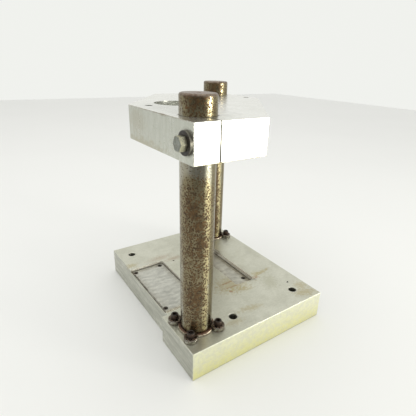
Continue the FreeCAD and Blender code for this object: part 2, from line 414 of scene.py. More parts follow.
@dataclass(frozen=True)
class MilledAluminium:
    """Milled aluminium that has been handled, with stains, bright edges that are partly a painted highlight,
    and faces given painted light and shade.
    """

    name: str
    pale: Colour
    dull: Colour
    # Tones of the left face: a darker painted shade, and its real streaks.
    side: Colour
    side_streak: Colour
    side_run: Triple
    # Tones of the front face: a paler painted light, yellower at the bottom as a painted reflection.
    front: Colour
    front_low: Colour
    # Tone of real specks, and of corners where it is partly painted shade.
    grime_and_shade: Colour
    # Pale tone of scratches, and of edges where it is partly a painted highlight.
    bright: Colour
    smooth: float
    matt: float
    stretch: Triple
    low: Triple
    top: float
    relief: float = 0.00002
    scratched: float = 0.3
    hollow: float = 0.012
    edge: float = 0.0009
    mottled: float = 0.3
    skin: Tuple[float, float] = (0.013, 0.011)
    pockets: Tuple[float, float] = (-1.0, -1.0)
    # Near-white tone of the upright pocket walls, painted light, and its stain tone.
    wall: Colour = (1.0, 0.99, 0.90)
    wall_stain: Colour = (0.62, 0.57, 0.46)
    # Tone of the painted shade deep inside holes.
    hole_shade: Colour = (0.05, 0.045, 0.035)
    tint_patches: Tuple[TintPatch, ...] = ()

    def faces(self, bench: Bench, colour: Feed, grain: Outputs) -> Feed:
        """Lays the tones of the left and front faces over the tone of the top: the left face darker, a
        painted shade under real streaks; the front face paler, a painted light, turning yellower towards the
        bottom as a painted reflection.

        Args:
            bench: The material's bench.
            colour: Tone of the top.
            grain: Outputs of the grain group.

        Returns:
            The tone of all faces.
        """
        place = bench.place()
        facing = bench.split(bench.facing())
        run = bench.noise(bench.vector("MULTIPLY", place, self.side_run), 330.0, 5.0, 0.7)
        spots = bench.step(bench.noise(place, 150.0, 4.0, 0.65), 0.40, 0.62, 0.0, 0.45)
        streaked = bench.blend(bench.step(run, 0.36, 0.68), self.side, self.side_streak)
        streaked = bench.blend(spots, streaked, self.side)
        spot = bench.split(place)
        deep, shallow = self.skin
        outer = [bench.step(reach, low + deep, low + shallow) for reach, low in zip(spot[:2], self.low)]
        # Left face: darker tone, painted shade, with real streaks and spots.
        left = bench.times(outer[0], bench.step(facing[0], -0.5, -0.9, 0.0, 0.9))
        colour = bench.blend(left, colour, streaked)
        # Front face: paler tone, painted light, graded to a yellower painted reflection towards the bottom.
        rise = bench.math("MULTIPLY_ADD", grain["Tone"], (self.top - self.low[2]) * 0.35, spot[2])
        graded = bench.blend(bench.step(rise, self.low[2], self.top * 1.1), self.front_low, self.front)
        graded = bench.coat(graded, spots, 0.9, self.side_streak)
        front = bench.times(outer[1], bench.step(facing[1], -0.5, -0.9, 0.0, 0.9))
        return bench.blend(front, colour, graded)

    def inner(self, bench: Bench) -> Socket:
        """Masks the upright walls of the pockets.

        Args:
            bench: The material's bench.

        Returns:
            The mask.
        """
        spot = bench.split(bench.place())
        upright = bench.step(bench.math("ABSOLUTE", bench.split(bench.facing())[2]), 0.5, 0.2)
        for reach, edge in zip(spot, self.pockets):
            inside = bench.step(bench.math("ABSOLUTE", reach), edge + 0.001, edge)
            upright = bench.times(upright, inside)
        return upright

    def make(self, effects: Effects) -> Material:
        """Builds the material.

        Args:
            effects: The shared groups.

        Returns:
            The new material.
        """
        work = Paintwork(self.name)
        bench = work.bench
        grain = bench.use(effects.grain, Stretch=self.stretch, Fineness=420.0, Drift=28.0)
        edging = bench.use(effects.edge_wear_and_highlight, Width=self.edge, Patchy=240.0)
        dirt_and_shade = bench.use(effects.grime_and_shade, Distance=self.hollow, Fleck=420.0)["Mask"]
        deep = bench.use(effects.grime_and_shade, Distance=0.022, Fleck=420.0)["DeepShade"]
        marks = bench.use(effects.scratches, Density=30.0, Amount=self.scratched)["Mask"]
        speckle = bench.step(bench.noise(bench.place(), 900.0, 2.0, 0.6), 0.62, 0.74)
        mottle = bench.step(bench.noise(bench.place(), 380.0, 4.0, 0.7), 0.34, 0.66)
        base = bench.plus(bench.times(grain["Tone"], 0.25), bench.times(grain["Cloud"], 0.5))
        tone = bench.math("MULTIPLY_ADD", mottle, self.mottled, base)
        colour = self.faces(bench, bench.blend(tone, self.pale, self.dull), grain)
        colour = bench.coat(colour, speckle, 0.28, self.grime_and_shade)
        # Upright pocket walls take a near-white tone with stains: painted light.
        inner = self.inner(bench)
        colour = bench.blend(inner, colour, bench.blend(mottle, self.wall, self.wall_stain))
        colour = work.lay_tint_patches(effects, colour, self.tint_patches)
        # Darkens corners and recesses: partly dirt, partly painted shade.
        colour = bench.coat(colour, dirt_and_shade, bench.between(inner, 0.62, 0.25), self.grime_and_shade)
        # Painted shade deep inside holes and bores.
        colour = bench.coat(colour, deep, 0.72, self.hole_shade)
        colour = bench.coat(colour, marks, 0.5, self.bright)
        # Pale tone on the edges: partly rubbed wear, partly a painted highlight line.
        colour = bench.coat(colour, edging["Mask"], 0.85, self.bright)
        rough = bench.math("MULTIPLY_ADD", dirt_and_shade, 0.25, bench.between(tone, self.smooth, self.matt))
        metal = bench.less(bench.between(dirt_and_shade, 0.92, 0.3), bench.times(inner, 0.6), clamp=True)
        work.set(Base_Color=colour, Metallic=metal, Roughness=rough)
        soft = edging["Normal"] if self.scratched else None
        work.bump(bench.less(grain["Tone"], marks), self.relief, soft)
        return work.material


@dataclass(frozen=True)
class RustedPost:
    """Ground steel that rusts in spots, bright where the block has slid, with a painted highlight strip down
    one side and a painted dim reflection on another.
    """

    name: str
    axis: Triple
    slide_low: float
    slide_high: float
    crown: float
    heavy: float = 0.46
    steel: Colour = (0.41, 0.397, 0.335)
    film: Colour = (0.245, 0.208, 0.125)
    # Film tone on the side with the painted dim reflection.
    olive: Colour = (0.245, 0.205, 0.105)
    umber: Colour = (0.115, 0.085, 0.044)
    brown: Colour = (0.052, 0.034, 0.017)
    orange: Colour = (0.160, 0.090, 0.034)
    # Steel tone of wiped streaks and of the side with the painted dim reflection.
    wiped_and_dim_reflection: Colour = (0.22, 0.19, 0.105)
    # Tones of the painted highlight strip, on bare steel and on the film.
    sheen: Colour = (0.57, 0.555, 0.44)
    gold_highlight: Colour = (0.60, 0.52, 0.29)
    cap_rim: Colour = (0.27, 0.22, 0.175)
    cap_middle: Colour = (0.24, 0.13, 0.09)
    cap_stain: Colour = (0.13, 0.085, 0.06)
    turning: float = 0.8
    weather: Triple = (-0.62, -0.785, 0.0)
    # Direction of the side with the painted dim reflection.
    dim_reflection_side: Triple = (0.74, -0.67, 0.0)
    # Direction of the painted highlight strip.
    highlight_strip: Triple = (0.035, -0.9994, 0.0)

    def cover(self, bench: Bench, place: Feed, outward: Feed, height: Feed) -> Socket:
        """Works out how much of the surface has rusted.

        Args:
            bench: The material's bench.
            place: Point on the post.
            outward: Direction away from the axis.
            height: Height of the point.

        Returns:
            Coverage from 0 to 1.
        """
        exposed = bench.step(bench.dot(outward, self.weather), 0.64, 0.90, 0.0, self.heavy)
        columns = bench.noise(bench.vector("MULTIPLY", place, (1.0, 1.0, 0.12)), 60.0, 2.0)
        columns = bench.step(columns, 0.35, 0.65, 0.16, 0.36)
        below = bench.step(height, self.slide_low - 0.006, self.slide_low - 0.065)
        above = bench.step(height, self.slide_high - 0.004, self.slide_high + 0.004, 0.0, 0.95)
        worn = bench.step(bench.noise(place, 42.0, 4.0, 0.6, 0.5), 0.36, 0.56, 0.62, 1.08)
        foot = bench.step(height, 0.060, 0.086, 0.6, 1.0)
        amount = bench.times(bench.times(worn, foot), bench.plus(columns, exposed))
        return bench.times(bench.math("MAXIMUM", below, above), amount)

    def make(self, effects: Effects) -> Material:
        """Builds the material.

        Args:
            effects: The shared groups.

        Returns:
            The new material.
        """
        work = Paintwork(self.name)
        bench = work.bench
        place = bench.place()
        height = bench.split(place)[2]
        away = bench.vector("MULTIPLY", bench.vector("SUBTRACT", place, self.axis), (1.0, 1.0, 0.0))
        outward = bench.vector("NORMALIZE", away)
        coverage = self.cover(bench, place, outward, height)
        rust = bench.use(effects.rust, Spots=390.0, Coverage=coverage, Seed=self.axis[0])
        wipe = bench.noise(bench.vector("MULTIPLY", place, (1.0, 1.0, 0.06)), 260.0, 3.0)
        # Painted reflection: the side facing this direction is darker and more olive, as if it mirrored a dim
        # room; real wiped streaks add to the steel there.
        dim_reflection = bench.step(bench.dot(outward, self.dim_reflection_side), 0.58, 0.95, 0.0, 0.75)
        wiped_and_dim_reflection = bench.plus(dim_reflection, bench.step(wipe, 0.35, 0.65, 0.0, 0.35), clamp=True)
        # Painted highlight: a paler upright strip where the lamp's reflection falls, on bare steel and on the
        # film.
        highlight_strip = bench.times(bench.step(bench.dot(outward, self.highlight_strip), 0.962, 0.994),
                            bench.step(height, self.slide_low, self.slide_high, 0.85, 0.15))
        steel = bench.blend(highlight_strip, bench.blend(wiped_and_dim_reflection, self.steel, self.wiped_and_dim_reflection), self.sheen)
        filmed = bench.step(coverage, 0.03, 0.26, 0.0, 0.95)
        film = bench.blend(dim_reflection, self.film, self.olive)
        film = bench.blend(highlight_strip, film, self.gold_highlight)
        stained = bench.coat(film, rust["Film"], 0.72, self.umber)
        colour = bench.blend(filmed, steel, stained)
        colour = bench.blend(rust["Mask"], colour, bench.blend(rust["Tone"], self.brown, self.orange))
        cap = bench.step(height, self.crown - 0.0045, self.crown - 0.0015)
        centred = bench.step(bench.length(away), 0.013, 0.009)
        ring = bench.blend(centred, self.cap_rim, self.cap_middle)
        blotch = bench.step(bench.noise(place, 300.0, 4.0, 0.6), 0.35, 0.65)
        capped = bench.blend(blotch, ring, self.cap_stain)
        colour = bench.coat(colour, cap, 0.8, capped)
        solid = bench.math("MAXIMUM", rust["Mask"], bench.times(cap, 0.7))
        rough = bench.between(filmed, 0.18, 0.26)
        work.set(Base_Color=colour, Metallic=bench.between(solid, 1.0, 0.5),
                 Roughness=bench.between(solid, rough, 0.42))
        lathe = bench.noise(bench.vector("MULTIPLY", place, (0.02, 0.02, 1.0)), 2600.0, 2.0, 0.7)
        crust = bench.plus(bench.times(rust["Mask"], 0.55), bench.times(rust["Tone"], 0.25))
        work.bump(bench.plus(crust, bench.times(lathe, self.turning)), 0.00009)
        return work.material


@dataclass(frozen=True)
class OldSteel:
    """Small steel parts: a base tone, rust patches, rubbed edges, and flanks in a lighter tone of their own,
    a painted reflection, with less rust.
    """

    name: str
    dark: Colour
    light: Colour
    rust: Colour
    coverage: float
    edge: Colour
    metal: float
    smooth: float
    matt: float
    spots: float = 450.0
    relief: float = 0.00008
    axis: Triple = (0.0, 0.0, 1.0)
    # Lighter flank tone, a painted reflection, and how much of it the flanks take.
    flank_sheen: Colour = (0.1, 0.1, 0.1)
    sheen: float = 0.0

    def make(self, effects: Effects) -> Material:
        """Builds the material.

        Args:
            effects: The shared groups.

        Returns:
            The new material.
        """
        work = Paintwork(self.name)
        bench = work.bench
        edging = bench.use(effects.edge_wear_and_highlight, Width=0.0005, Patchy=900.0)
        dirt_and_shade = bench.use(effects.grime_and_shade, Distance=0.003, Fleck=700.0)["Mask"]
        grain = bench.use(effects.grain, Stretch=(1.0, 1.0, 1.0), Fineness=1400.0, Drift=200.0)
        along = bench.math("ABSOLUTE", bench.dot(bench.facing(), self.axis))
        # Flanks round the axis: a lighter tone, a painted reflection, and less rust.
        bare_and_sheen = bench.step(along, 0.80, 0.45, 0.0, self.sheen)
        coverage = bench.times(bench.less(1.0, bench.times(bare_and_sheen, 0.8)), self.coverage)
        rust = bench.use(effects.rust, Spots=self.spots, Coverage=coverage, Seed=1.7)
        colour = bench.blend(grain["Cloud"], self.dark, self.light)
        flank_sheen = bench.blend(bench.times(grain["Cloud"], 0.6), self.flank_sheen, self.dark)
        colour = bench.blend(bare_and_sheen, colour, flank_sheen)
        colour = bench.blend(rust["Mask"], colour, bench.blend(rust["Tone"], self.rust, self.dark))
        # Darkens corners: partly dirt, partly painted shade.
        colour = bench.coat(colour, dirt_and_shade, 0.7, (0.02, 0.015, 0.012))
        colour = bench.coat(colour, edging["Mask"], 0.8, self.edge)
        rough = bench.between(rust["Mask"], bench.between(grain["Tone"], self.smooth, self.matt), 0.7)
        work.set(Base_Color=colour, Metallic=bench.between(rust["Mask"], self.metal, 0.2), Roughness=rough)
        work.bump(bench.plus(bench.times(rust["Mask"], 0.6), bench.times(grain["Tone"], 0.3)),
                  self.relief, edging["Normal"])
        return work.material


@dataclass(frozen=True)
class WavyPlate:
    """Plate faced by hand, with broken wavy tool marks across it, pits at its front end, and darker rim and
    corners, partly dirt and partly painted shade.
    """

    name: str
    pale: Colour
    dull: Colour
    grime_and_shade: Colour
    pitch: float
    rim_dirt_and_shade: float
    box: Box
    sway: float = 0.034
    # Tone of the ragged rim, partly dirt, partly painted shade.
    dirt_and_shade: Colour = (0.25, 0.215, 0.15)
    pit_pale: Colour = (0.80, 0.77, 0.62)
    pit_dark: Colour = (0.30, 0.24, 0.15)

    def waves(self, bench: Bench, place: Feed) -> Socket:
        """Works out the broken waves across the plate.

        Args:
            bench: The material's bench.
            place: Point on the plate.

        Returns:
            Wave height from 0 to 1.
        """
        drift = bench.noise(place, 34.0, 4.0, 0.55)
        along = bench.math("MULTIPLY_ADD", drift, self.sway, bench.split(place)[1])
        turns = bench.times(along, 2.0 * math.pi / self.pitch)
        strength = bench.step(bench.noise(place, 48.0, 3.0, 0.6), 0.32, 0.62, 0.10, 0.5)
        return bench.math("MULTIPLY_ADD", bench.math("SINE", turns), strength, 0.5)

    def make(self, effects: Effects) -> Material:
        """Builds the material.

        Args:
            effects: The shared groups.

        Returns:
            The new material.
        """
        work = Paintwork(self.name)
        bench = work.bench
        place = bench.place()
        wave = self.waves(bench, place)
        grain = bench.use(effects.grain, Stretch=(0.22, 1.0, 1.0), Fineness=620.0, Drift=44.0)
        dirt_and_shade = bench.use(effects.grime_and_shade, Distance=0.006, Fleck=380.0)["Mask"]
        marks = bench.use(effects.scratches, Density=40.0, Amount=0.6)["Mask"]
        base = bench.plus(bench.times(wave, 0.36), bench.times(grain["Cloud"], 0.40))
        tone = bench.math("MULTIPLY_ADD", grain["Tone"], 0.34, base)
        colour = bench.blend(tone, self.pale, self.dull)
        low, high = self.box
        spot = bench.split(place)
        rim: Feed = 0.0
        for index in (0, 1):
            half = (high[index] - low[index]) / 2
            away = bench.math("ABSOLUTE", bench.less(spot[index], (low[index] + high[index]) / 2))
            rim = bench.math("MAXIMUM", rim, bench.step(away, half - 0.017, half - 0.003))
        ragged = bench.step(bench.noise(place, 170.0, 4.0, 0.7), 0.38, 0.58, 0.25, 1.0)
        end = bench.step(spot[1], low.y + 0.014, low.y + 0.006)
        pits = bench.step(bench.noise(place, 520.0, 3.0, 0.7), 0.44, 0.56)
        pitted = bench.blend(pits, self.pit_pale, self.pit_dark)
        colour = bench.coat(colour, end, 0.85, pitted)
        # Ragged darkening along the plate's rim beside the pocket walls: partly dirt, partly painted shade.
        colour = bench.coat(colour, bench.times(rim, ragged), self.rim_dirt_and_shade, self.dirt_and_shade)
        # Darkens corners: partly dirt, partly painted shade.
        colour = bench.coat(colour, dirt_and_shade, 0.7, self.grime_and_shade)
        colour = bench.coat(colour, marks, 0.4, self.grime_and_shade)
        work.set(Base_Color=colour, Metallic=bench.between(dirt_and_shade, 0.85, 0.2),
                 Roughness=bench.between(tone, 0.32, 0.52))
        work.bump(bench.plus(wave, bench.times(grain["Tone"], 0.08)), 0.00022)
        return work.material


@dataclass(frozen=True)
class PackedGrimeAndShade:
    """Dark dried dirt packed into a seam, standing partly for the gap's painted shade."""

    name: str
    dark: Colour = (0.045, 0.036, 0.026)
    light: Colour = (0.22, 0.165, 0.10)

    def make(self, effects: Effects) -> Material:
        """Builds the material.

        Args:
            effects: The shared groups.

        Returns:
            The new material.
        """
        work = Paintwork(self.name)
        bench = work.bench
        grain = bench.use(effects.grain, Stretch=(1.0, 1.0, 1.0), Fineness=1500.0, Drift=210.0)
        tone = bench.times(grain["Cloud"], grain["Tone"])
        work.set(Base_Color=bench.blend(tone, self.dark, self.light), Metallic=0.0,
                 Roughness=bench.between(grain["Tone"], 0.65, 0.9))
        work.bump(grain["Tone"], 0.00015)
        return work.material


# ---- mesh making


def loft(name: str, rings: Sequence[Ring], start: Optional[Vector] = None, end: Optional[Vector] = None,
         joined: bool = False, crease: float = 32.0) -> Piece:
    """Skins closed rings of equal count into one mesh.

    Args:
        name: Name of the piece.
        rings: Rings of points, each running counter-clockwise seen from its outer side.
        start: Point that closes the first ring with a fan.
        end: Point that closes the last ring with a fan.
        joined: Whether the last ring runs on into the first.
        crease: Angle in degrees over which an edge stays sharp.

    Returns:
        The new object, linked into the scene.
    """
    count = len(rings[0])
    points = [point for ring in rings for point in ring]
    faces: List[Tuple[int, ...]] = []
    pairs = list(zip(range(len(rings)), range(1, len(rings))))
    if joined:
        pairs.append((len(rings) - 1, 0))
    for low, high in pairs:
        for spot in range(count):
            after = (spot + 1) % count
            faces.append((low * count + spot, low * count + after, high * count + after,
                          high * count + spot))
    for tip, base, flip in ((start, 0, True), (end, (len(rings) - 1) * count, False)):
        if tip is None:
            continue
        points.append(tip)
        for spot in range(count):
            after = (spot + 1) % count
            fan = (base + spot, base + after, len(points) - 1)
            faces.append(fan[::-1] if flip else fan)
    mesh = bpy.data.meshes.new(name)
    mesh.from_pydata([tuple(point) for point in points], [], faces)
    mesh.validate()
    mesh.shade_smooth()
    mesh.set_sharp_from_angle(angle=math.radians(crease))
    piece = bpy.data.objects.new(name, mesh)
    bpy.context.scene.collection.objects.link(piece)
    return piece


def circle(centre: Vector, radius: Callable[[float], float], height: float, count: int) -> Ring:
    """Makes a ring of points about an upright axis.

    Args:
        centre: Centre, whose height is added to.
        radius: Radius as a function of the angle.
        height: Height over the centre.
        count: Number of points.

    Returns:
        The points, counter-clockwise from above.
    """
    ring: Ring = []
    for index in range(count):
        angle = 2.0 * math.pi * index / count
        reach = radius(angle)
        ring.append(centre + Vector((reach * math.cos(angle), reach * math.sin(angle), height)))
    return ring


def steady(radius: float) -> Callable[[float], float]:
    """Returns a radius that is the same all round."""
    return lambda angle: radius


def hexagonal(flats: float) -> Callable[[float], float]:
    """Returns the radius of a hexagon of that size across flats."""
    return lambda angle: 0.5 * flats / math.cos((angle % (math.pi / 3.0)) - math.pi / 6.0)


def bead(name: str, path: Sequence[Vector], reach: float, closed: bool) -> Piece:
    """Lays an irregular dark bead along a level path.

    Args:
        name: Name of the piece.
        path: Corners of the path, in order.
        reach: Largest radius of the bead.
        closed: Whether the last corner runs back to the first.

    Returns:
        The new object.
    """
    corners = list(path) + ([path[0]] if closed else [])
    spots: List[Vector] = []
    for start, stop in zip(corners, corners[1:]):
        steps = max(2, round((stop - start).length / BEAD_STEP))
        spots += [start.lerp(stop, index / steps) for index in range(steps)]
    if not closed:
        spots.append(corners[-1])
    rings: List[Ring] = []
    for index, spot in enumerate(spots):
        ahead = spots[(index + 1) % len(spots)] if closed or index + 1 < len(spots) else spot
        behind = spots[index - 1] if closed or index else spot
        forward = (ahead - behind).normalized()
        aside = forward.cross(UP)
        rough = 0.56 + 0.55 * noise.fractal(spot * 310.0, 0.8, 2.0, 4)
        rough += 0.5 * noise.fractal(spot * 70.0, 0.8, 2.0, 2)
        radius = reach * min(1.0, max(BEAD_LEAST, rough))
        angles = [2.0 * math.pi * turn / BEAD_SIDES for turn in range(BEAD_SIDES)]
        rings.append([spot + aside * radius * math.cos(angle) + UP * (0.6 * radius * math.sin(angle))
                      for angle in angles])
    ends = (None, None) if closed else (spots[0], spots[-1])
    return loft(name, rings, ends[0], ends[1], joined=closed, crease=180.0)


def middle_of(node: str) -> Vector:
    """Returns the middle of a CAD node's box."""
    return sum(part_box(node), Vector()) / 2


def dress(nodes: Sequence[str], material: Material) -> None:
    """Gives CAD nodes one material in place of their own.

    Args:
        nodes: Names of the nodes.
        material: The material they take.
    """
    for name in nodes:
        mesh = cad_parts[name].data
        mesh.materials.clear()
        mesh.materials.append(material)
        LOG.info("dressed %s in %s", name, material.name)


def settle(piece: Piece, body: str, slot: Slot, material: Material, *nodes: str) -> None:
    """Finishes a new piece.

    Args:
        piece: The piece, in its place at rest.
        body: CAD body that it moves with.
        slot: Not used.
        material: Its material.
        nodes: CAD nodes that it stands for.
    """
    piece.data.materials.append(material)
    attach(piece, body)
    if nodes:
        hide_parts(*nodes)
    LOG.info("built %s on body %s", piece.name, body)


# ---- sub-assemblies


@dataclass
class LowerShoe:
    """The thick lower plate with its recessed plates and their screws."""

    effects: Effects

    def tint_patches(self) -> Tuple[TintPatch, ...]:
        """Places the shoe's stains by its own box.

        Returns:
            The stains.
        """
        low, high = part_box("lower_shoe")
        middle, half = (low + high) / 2, (high - low) / 2

        def mark(across: float, along: float, wide: float, long: float, tint: Colour, strength: float,
                 turn: float = 0.0, ragged: float = 0.5, fleck: float = 220.0) -> TintPatch:
            """Makes a stain on top: place as a share of the half sizes, reach in millimetres."""
            centre = (middle.x + across * half.x, middle.y + along * half.y, high.z)
            return TintPatch(centre, (wide * MM, long * MM, 8 * MM), tint, strength, turn, ragged, fleck)

        rust, ochre, olive = (0.35, 0.20, 0.10), (0.42, 0.35, 0.165), (0.40, 0.39, 0.26)
        soot, oil = (0.10, 0.09, 0.07), (0.16, 0.13, 0.08)
        return (
            mark(0.10, 0.10, 110, 90, olive, 0.18, 0.0, 0.9, 60.0),
            mark(0.11, -0.37, 46, 28, ochre, 0.50, 0.0, 0.8),
            mark(0.11, -0.327, 37, 2.3, rust, 0.65, -0.03, 0.45),
            mark(0.063, -0.413, 26, 2.0, rust, 0.60, 0.06, 0.45),
            mark(0.16, -0.50, 24, 9, ochre, 0.50, 0.3, 0.8),
            mark(-0.005, -0.476, 3.2, 4.6, rust, 0.8, 0.0, 0.35),
            mark(0.68, -0.362, 24, 5.0, ochre, 0.60, -0.15, 0.8),
            mark(0.56, -0.36, 12, 9, ochre, 0.55, 0.0, 0.8),
            mark(0.83, -0.905, 26, 12, ochre, 0.55, 0.3, 0.8),
            mark(0.896, -0.788, 14, 12, ochre, 0.5, 0.0, 0.8),
            mark(0.60, -0.55, 16, 30, olive, 0.35, 0.5, 0.9),
            mark(-0.011, -0.791, 26, 8, ochre, 0.45, 0.2, 0.8),
            mark(-0.326, -0.870, 20, 7, ochre, 0.40, 0.1, 0.8),
            mark(-0.874, 0.543, 15, 9, ochre, 0.55, 0.0, 0.9, 320.0),
            mark(-0.412, 0.53, 30, 9, rust, 0.30, 0.0, 1.0, 420.0),
            mark(-0.23, 0.438, 22, 7, rust, 0.35, 0.0, 1.0, 480.0),
            mark(0.44, 0.30, 7.0, 20, oil, 0.85, 0.0, 0.7),
            mark(0.455, -0.20, 2.2, 60, rust, 0.22, 0.0, 0.9, 400.0),
            mark(0.44, -0.43, 9, 4, soot, 0.40, 0.3, 0.7, 300.0),
            mark(0.50, -0.41, 8, 5, rust, 0.60, 0.0, 0.8, 300.0),
            mark(-0.73, -0.72, 34, 34, olive, 0.35, 0.0, 0.8),
            mark(0.70, 0.72, 36, 36, olive, 0.30, 0.0, 0.8),
        )

    def build(self) -> None:
        """Dresses the shoe, the plates and the plate screws."""
        low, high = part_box("lower_shoe")
        # The side tone is painted shade; the front tones are painted light with a yellow painted reflection;
        # the bright edge tone is partly a painted highlight.
        shoe = MilledAluminium(
            "shoe_milled", pale=(0.66, 0.66, 0.565), dull=(0.52, 0.52, 0.43), side=(0.42, 0.425, 0.365),
            side_streak=(0.68, 0.68, 0.61), side_run=(1.0, 0.05, 1.0), front=(0.86, 0.86, 0.64),
            front_low=(0.79, 0.765, 0.35), grime_and_shade=(0.20, 0.165, 0.11), bright=(0.97, 0.97, 0.88),
            smooth=0.32, matt=0.48, stretch=(0.25, 1.0, 1.0), low=tuple(low), top=high.z, hollow=0.0028,
            pockets=(high.x - 13 * MM, 90 * MM), tint_patches=self.tint_patches())
        dress(["lower_shoe"], shoe.make(self.effects))
        for side, looks in (
                ("left", ((0.68, 0.68, 0.61), (0.40, 0.40, 0.36), (0.10, 0.09, 0.06), 0.012, 0.35)),
                ("centre", ((0.68, 0.67, 0.58), (0.41, 0.40, 0.345), (0.12, 0.09, 0.06), 0.015, 0.75))):
            node = side + "_recess_plate"
            dress([node], WavyPlate(side + "_plate_faced", *looks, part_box(node)).make(self.effects))
        dark = OldSteel("small_screw_black", (0.05, 0.045, 0.04), (0.11, 0.10, 0.085), (0.12, 0.07, 0.04),
                        0.5, (0.35, 0.33, 0.28), 0.8, 0.4, 0.6)
        dress(sorted(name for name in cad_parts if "plate_screw" in name), dark.make(self.effects))
        self.build_seams(high.z)

    def build_seams(self, top: float) -> None:
        """Lays dark beads in the seams round both plates and along the outer lip: partly packed dirt, partly
        painted shade of the gaps.

        Args:
            top: Height of the shoe's top.
        """
        grime_and_shade = PackedGrimeAndShade("seam_grime_and_shade").make(self.effects)
        reach = BEAD_REACH["plate"]
        for side in ("centre", "left"):
            low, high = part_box(side + "_recess_plate")
            west, east, south, north = low.x + reach, high.x - reach, low.y + reach, high.y - reach
            level = high.z + 0.3 * reach
            corners = ((west, south), (east, south), (east, north), (west, north))
            loop = [Vector((*corner, level)) for corner in corners]
            settle(bead(side + "_plate_seam", loop, reach, True), "shoe", Slot.PLATE, grime_and_shade)
        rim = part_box("left_recess_plate")[0].x
        edge = [Vector((rim, spot, top - 0.15 * MM)) for spot in (south + 5.0 * MM, north - 5.0 * MM)]
        settle(bead("left_rim_seam", edge, reach, False), "shoe", Slot.PLATE, grime_and_shade)


@dataclass
class PostFoot:
    """One guide post with its collar, toe clamps and cap screws."""

    effects: Effects
    station: Station
    screw_material: Material
    collar_material: Material
    clamp_material: Material
    knurls: int = 36
    knurl: float = 0.22 * MM
    shank: float = 3.9 * MM
    socket: float = 6.3 * MM
    mouth: float = 6.9 * MM
    floor: float = 4.2 * MM
    tip: float = 4.9 * MM
    lumps: float = 0.45 * MM
    sides: int = 160

    def name(self, part: str) -> str:
        """Returns the node name of a part at this post."""
        return self.station.value + "_" + part

    def build_post(self) -> None:
        """Dresses the guide post."""
        node = self.name("guide_post")
        middle = middle_of(node)
        slides = [corner.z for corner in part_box("upper_block")]
        heavy = 0.58 if self.station is Station.NEAR else 0.64
        finish = RustedPost(self.name("post_rusted"), (middle.x, middle.y, 0.0), *slides,
                            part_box(node)[1].z, heavy)
        dress([node], finish.make(self.effects))

    def build_collar(self) -> None:
        """Builds the collar as a ring crusted with rust."""
        low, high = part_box(self.name("post_collar"))
        post_low, post_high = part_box(self.name("guide_post"))
        centre = middle_of(self.name("post_collar"))
        centre.z = low.z
        inner = (post_high.x - post_low.x) / 2
        outer = (high.x - low.x) / 2
        tall = high.z - low.z
        profile = [(inner + 0.05 * MM, 0.0), (outer - 0.3 * MM, 0.0), (outer, 0.5 * MM), (outer, 0.55 * tall),
                   (outer - 0.5 * MM, 0.82 * tall), (outer - 1.4 * MM, tall), (inner + 1.2 * MM, tall),
                   (inner + 0.4 * MM, 0.93 * tall), (inner + 0.05 * MM, 0.82 * tall)]
        rings: List[Ring] = []
        for reach, height in profile:
            ring = circle(centre, steady(reach), height, self.sides)
            if height > 0.0 and reach > inner + 0.1 * MM:
                for point in ring:
                    rough = noise.fractal(point * 420.0, 0.8, 2.0, 4)
                    away = Vector((point.x - centre.x, point.y - centre.y, 0.0)).normalized()
                    point -= away * self.lumps * max(0.0, rough)
                    point.z -= 0.6 * self.lumps * abs(rough)
            rings.append(ring)
        piece = loft(self.name("collar_crusted"), rings, joined=True, crease=50.0)
        settle(piece, "shoe", Slot.COLLAR, self.collar_material, self.name("post_collar"))

    def build_screw(self, number: int) -> None:
        """Builds one knurled cap screw with its socket.

        Args:
            number: Which of the four screws.
        """
        node = self.name("clamp_screw_%d" % number)
        low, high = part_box(node)
        clamp_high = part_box(self.name("toe_clamp_%d" % number))[1].z
        centre = middle_of(node)
        centre.z = clamp_high + 0.05 * MM
        head = (high.x - low.x) / 2
        foot, tall = low.z - centre.z, high.z - centre.z

        def knurled(angle: float) -> float:
            """Returns the head's radius with its straight knurl."""
            return head - self.knurl * (0.5 + 0.5 * math.cos(self.knurls * angle))

        body: List[Tuple[Callable[[float], float], float]] = [
            (steady(self.shank), foot), (steady(self.shank), 0.0), (steady(head - 0.35 * MM), 0.0),
            (steady(head - 0.25 * MM), 0.3 * MM), (knurled, 0.9 * MM), (knurled, tall - 1.9 * MM),
            (steady(head - 0.22 * MM), tall - 1.4 * MM), (steady(head - 0.30 * MM), tall - 0.55 * MM),
            (steady(head - 0.85 * MM), tall - 0.05 * MM), (steady(head - 1.2 * MM), tall),
            (hexagonal(self.mouth), tall), (hexagonal(self.socket), tall - 0.35 * MM),
            (hexagonal(self.socket), tall - self.floor)]
        rings = [circle(centre, radius, height, self.knurls * 4) for radius, height in body]
        piece = loft(self.name("cap_screw_%d" % number), rings, centre + UP * foot,
                     centre + UP * (tall - self.tip), crease=35.0)
        settle(piece, self.name("screw_%d" % number), Slot.CAP_SCREW, self.screw_material, node)

    def build(self) -> None:
        """Builds and dresses everything at this post."""
        self.build_post()
        self.build_collar()
        for number in range(1, 5):
            dress([self.name("toe_clamp_%d" % number)], self.clamp_material)
            self.build_screw(number)


